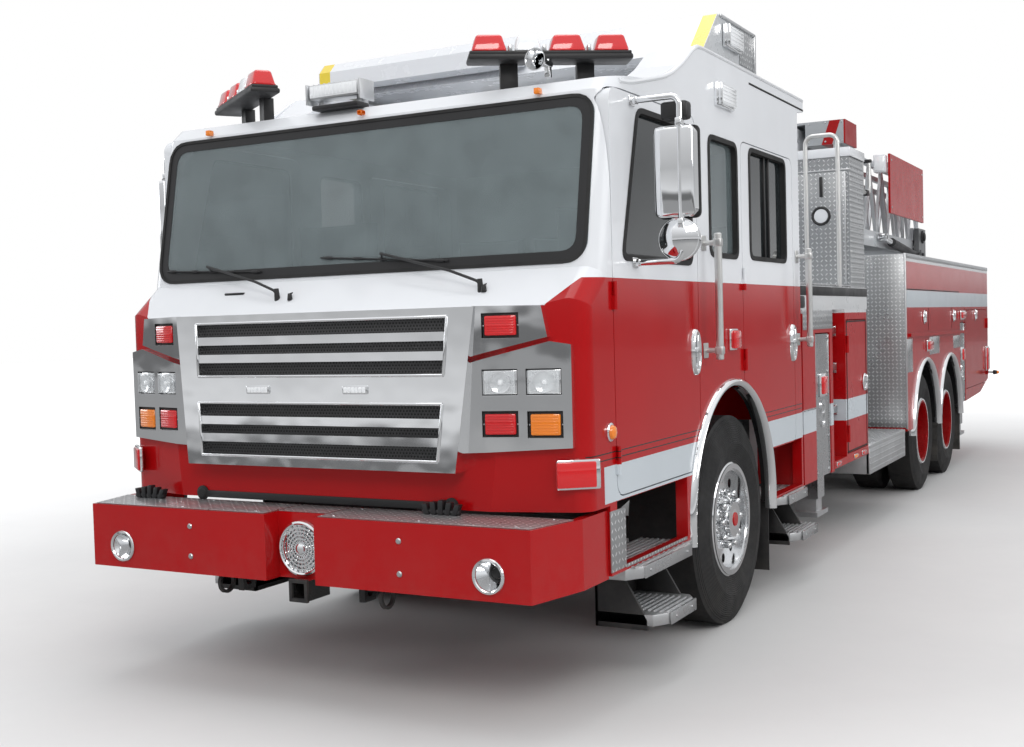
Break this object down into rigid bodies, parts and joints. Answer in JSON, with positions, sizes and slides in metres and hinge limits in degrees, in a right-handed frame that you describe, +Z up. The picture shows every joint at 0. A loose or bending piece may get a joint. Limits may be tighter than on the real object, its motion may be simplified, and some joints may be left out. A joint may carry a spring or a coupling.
{
  "type": "aerial platform fire engine",
  "caption": "Aerial platform fire engine: crew cab over the engine, pump module, rear body with turntable, three-section truss ladder, folding jib and basket reaching over the cab",
  "frame": {"origin": "on the ground, at the middle of the overall length and width", "axes": "-Y is forward, +X is the driver's side, +Z is up"},
  "size_m": [3.108, 11.908, 3.45],
  "materials": {
    "red_paint": "clear-coated red",
    "white_paint": "gloss white",
    "grey_paint": "satin grey",
    "black_metal": "satin black",
    "silver_metal": "plain aluminium",
    "chrome": "polished chrome",
    "steel": "brushed stainless",
    "iron": "painted black",
    "tyre": "black tyre rubber",
    "glass": "tinted glass",
    "seat_cloth": "dark woven cloth"
  },
  "bodies": {
    "chassis": {"frame_rails": "black_metal", "engine_block": "iron", "front_axle": "iron", "rear_axles": "iron", "cab_shell": "red_paint", "cab_glass": "glass", "cab_interior": "seat_cloth", "grille": "chrome", "lamp_bezels": "chrome", "front_bumper": "red_paint", "bumper_siren": "chrome", "steps": "silver_metal", "grab_rails": "chrome", "roof_lights": "black_metal", "pump_module": "red_paint", "deck_lockers": "silver_metal", "rear_body": "red_paint"},
    "front_door_left": {"front_door_left": "red_paint", "mirror_left": "chrome"},
    "crew_door_left": {"crew_door_left": "red_paint"},
    "pump_door_left": {"pump_door_left": "red_paint"},
    "locker_door_left": {"locker_door_left": "red_paint"},
    "knuckle_left": {"knuckle_left": "iron"},
    "wheel_front_left": {"tyre_front_left": "tyre", "rim_front_left": "silver_metal"},
    "wheels_rear_1_left": {"tyres_rear_1_left": "tyre", "rims_rear_1_left": "silver_metal"},
    "wheels_rear_2_left": {"tyres_rear_2_left": "tyre", "rims_rear_2_left": "silver_metal"},
    "outrigger_front_left": {"outrigger_front_left": "steel"},
    "jack_front_left": {"jack_front_left": "silver_metal"},
    "outrigger_rear_left": {"outrigger_rear_left": "steel"},
    "jack_rear_left": {"jack_rear_left": "silver_metal"},
    "front_door_right": {"front_door_right": "red_paint", "mirror_right": "chrome"},
    "crew_door_right": {"crew_door_right": "red_paint"},
    "pump_door_right": {"pump_door_right": "red_paint"},
    "locker_door_right": {"locker_door_right": "red_paint"},
    "knuckle_right": {"knuckle_right": "iron"},
    "wheel_front_right": {"tyre_front_right": "tyre", "rim_front_right": "silver_metal"},
    "wheels_rear_1_right": {"tyres_rear_1_right": "tyre", "rims_rear_1_right": "silver_metal"},
    "wheels_rear_2_right": {"tyres_rear_2_right": "tyre", "rims_rear_2_right": "silver_metal"},
    "outrigger_front_right": {"outrigger_front_right": "steel"},
    "jack_front_right": {"jack_front_right": "silver_metal"},
    "outrigger_rear_right": {"outrigger_rear_right": "steel"},
    "jack_rear_right": {"jack_rear_right": "silver_metal"},
    "turntable": {"turntable": "grey_paint"},
    "ladder_base": {"ladder_base": "silver_metal", "sign_boards": "red_paint"},
    "ladder_mid": {"ladder_mid": "silver_metal"},
    "ladder_fly": {"ladder_fly": "silver_metal"},
    "jib": {"jib": "white_paint"},
    "basket": {"basket": "white_paint"},
    "cylinder_barrels": {"cylinder_barrels": "black_metal"},
    "cylinder_rods": {"cylinder_rods": "chrome"}
  },
  "joints": [
    {"name": "front_door_left_hinge", "type": "hinge", "parent": "chassis", "child": "front_door_left", "pos_m": [1.269, -5.285, 1.775], "axis": [0, 0, -1], "range_deg": [0, 85]},
    {"name": "crew_door_left_hinge", "type": "hinge", "parent": "chassis", "child": "crew_door_left", "pos_m": [1.269, -3.529, 1.745], "axis": [0, 0, -1], "range_deg": [0, 85]},
    {"name": "pump_door_left_hinge", "type": "hinge", "parent": "chassis", "child": "pump_door_left", "pos_m": [1.269, -1.209, 1.135], "axis": [0, 0, -1], "range_deg": [0, 90]},
    {"name": "locker_door_left_hinge", "type": "hinge", "parent": "chassis", "child": "locker_door_left", "pos_m": [1.269, 5.821, 1.23], "axis": [0, 0, 1], "range_deg": [0, 90]},
    {"name": "steer_left", "type": "hinge", "parent": "chassis", "child": "knuckle_left", "pos_m": [0.88, -3.682, 0.56], "axis": [0, 0, 1], "range_deg": [-35, 35]},
    {"name": "wheel_front_left_spin", "type": "hinge", "parent": "knuckle_left", "child": "wheel_front_left", "pos_m": [1.025, -3.682, 0.562], "axis": [1, 0, 0], "continuous": true},
    {"name": "wheels_rear_1_left_spin", "type": "hinge", "parent": "chassis", "child": "wheels_rear_1_left", "pos_m": [0.924, 1.878, 0.545], "axis": [1, 0, 0], "continuous": true},
    {"name": "wheels_rear_2_left_spin", "type": "hinge", "parent": "chassis", "child": "wheels_rear_2_left", "pos_m": [0.924, 3.199, 0.545], "axis": [1, 0, 0], "continuous": true},
    {"name": "outrigger_front_left_slide", "type": "slide", "parent": "chassis", "child": "outrigger_front_left", "axis": [1, 0, 0], "range_m": [0, 1.35]},
    {"name": "jack_front_left_slide", "type": "slide", "parent": "outrigger_front_left", "child": "jack_front_left", "axis": [0, 0, -1], "range_m": [0, 0.3]},
    {"name": "outrigger_rear_left_slide", "type": "slide", "parent": "chassis", "child": "outrigger_rear_left", "axis": [1, 0, 0], "range_m": [0, 1.35]},
    {"name": "jack_rear_left_slide", "type": "slide", "parent": "outrigger_rear_left", "child": "jack_rear_left", "axis": [0, 0, -1], "range_m": [0, 0.3]},
    {"name": "front_door_right_hinge", "type": "hinge", "parent": "chassis", "child": "front_door_right", "pos_m": [-1.269, -5.285, 1.775], "axis": [0, 0, 1], "range_deg": [0, 85]},
    {"name": "crew_door_right_hinge", "type": "hinge", "parent": "chassis", "child": "crew_door_right", "pos_m": [-1.269, -3.529, 1.745], "axis": [0, 0, 1], "range_deg": [0, 85]},
    {"name": "pump_door_right_hinge", "type": "hinge", "parent": "chassis", "child": "pump_door_right", "pos_m": [-1.269, -1.209, 1.135], "axis": [0, 0, 1], "range_deg": [0, 90]},
    {"name": "locker_door_right_hinge", "type": "hinge", "parent": "chassis", "child": "locker_door_right", "pos_m": [-1.269, 5.821, 1.23], "axis": [0, 0, -1], "range_deg": [0, 90]},
    {"name": "steer_right", "type": "hinge", "parent": "chassis", "child": "knuckle_right", "pos_m": [-0.88, -3.682, 0.56], "axis": [0, 0, 1], "range_deg": [-35, 35]},
    {"name": "wheel_front_right_spin", "type": "hinge", "parent": "knuckle_right", "child": "wheel_front_right", "pos_m": [-1.025, -3.682, 0.562], "axis": [1, 0, 0], "continuous": true},
    {"name": "wheels_rear_1_right_spin", "type": "hinge", "parent": "chassis", "child": "wheels_rear_1_right", "pos_m": [-0.924, 1.878, 0.545], "axis": [1, 0, 0], "continuous": true},
    {"name": "wheels_rear_2_right_spin", "type": "hinge", "parent": "chassis", "child": "wheels_rear_2_right", "pos_m": [-0.924, 3.199, 0.545], "axis": [1, 0, 0], "continuous": true},
    {"name": "outrigger_front_right_slide", "type": "slide", "parent": "chassis", "child": "outrigger_front_right", "axis": [-1, 0, 0], "range_m": [0, 1.35]},
    {"name": "jack_front_right_slide", "type": "slide", "parent": "outrigger_front_right", "child": "jack_front_right", "axis": [0, 0, -1], "range_m": [0, 0.3]},
    {"name": "outrigger_rear_right_slide", "type": "slide", "parent": "chassis", "child": "outrigger_rear_right", "axis": [-1, 0, 0], "range_m": [0, 1.35]},
    {"name": "jack_rear_right_slide", "type": "slide", "parent": "outrigger_rear_right", "child": "jack_rear_right", "axis": [0, 0, -1], "range_m": [0, 0.3]},
    {"name": "slew", "type": "hinge", "parent": "chassis", "child": "turntable", "pos_m": [0, 4.018, 2.17], "axis": [0, 0, 1], "continuous": true},
    {"name": "elevate", "type": "hinge", "parent": "turntable", "child": "ladder_base", "pos_m": [0, 4.468, 2.5], "axis": [-1, 0, 0], "range_deg": [0, 75]},
    {"name": "telescope_mid", "type": "slide", "parent": "ladder_base", "child": "ladder_mid", "axis": [0, -1, 0], "range_m": [0, 1.88]},
    {"name": "telescope_fly", "type": "slide", "parent": "ladder_mid", "child": "ladder_fly", "axis": [0, -1, 0], "range_m": [0, 1.88]},
    {"name": "jib_fold", "type": "hinge", "parent": "ladder_fly", "child": "jib", "pos_m": [0, 1.718, 3.3], "axis": [-1, 0, 0], "range_deg": [-93.75, 0]},
    {"name": "basket_level", "type": "hinge", "parent": "jib", "child": "basket", "pos_m": [0, -2.982, 3.2], "axis": [-1, 0, 0], "range_deg": [0, 18.75]},
    {"name": "cylinder_foot", "type": "hinge", "parent": "turntable", "child": "cylinder_barrels", "pos_m": [0, 4.068, 2.275], "axis": [-1, 0, 0], "range_deg": [0, 79.72]},
    {"name": "cylinder_stroke", "type": "slide", "parent": "cylinder_barrels", "child": "cylinder_rods", "axis": [0, -0.9971, 0.0755], "range_m": [0, 0.5363]}
  ],
  "couplings": [
    {"joint": "steer_right", "follows": "steer_left", "ratio": 1},
    {"joint": "telescope_fly", "follows": "telescope_mid", "ratio": 1},
    {"joint": "jib_fold", "follows": "elevate", "ratio": -1.25},
    {"joint": "basket_level", "follows": "elevate", "ratio": 0.25},
    {"joint": "cylinder_foot", "follows": "elevate", "ratio": 1.0629},
    {"joint": "cylinder_stroke", "follows": "elevate", "m_per_rad": 0.4097}
  ]
}
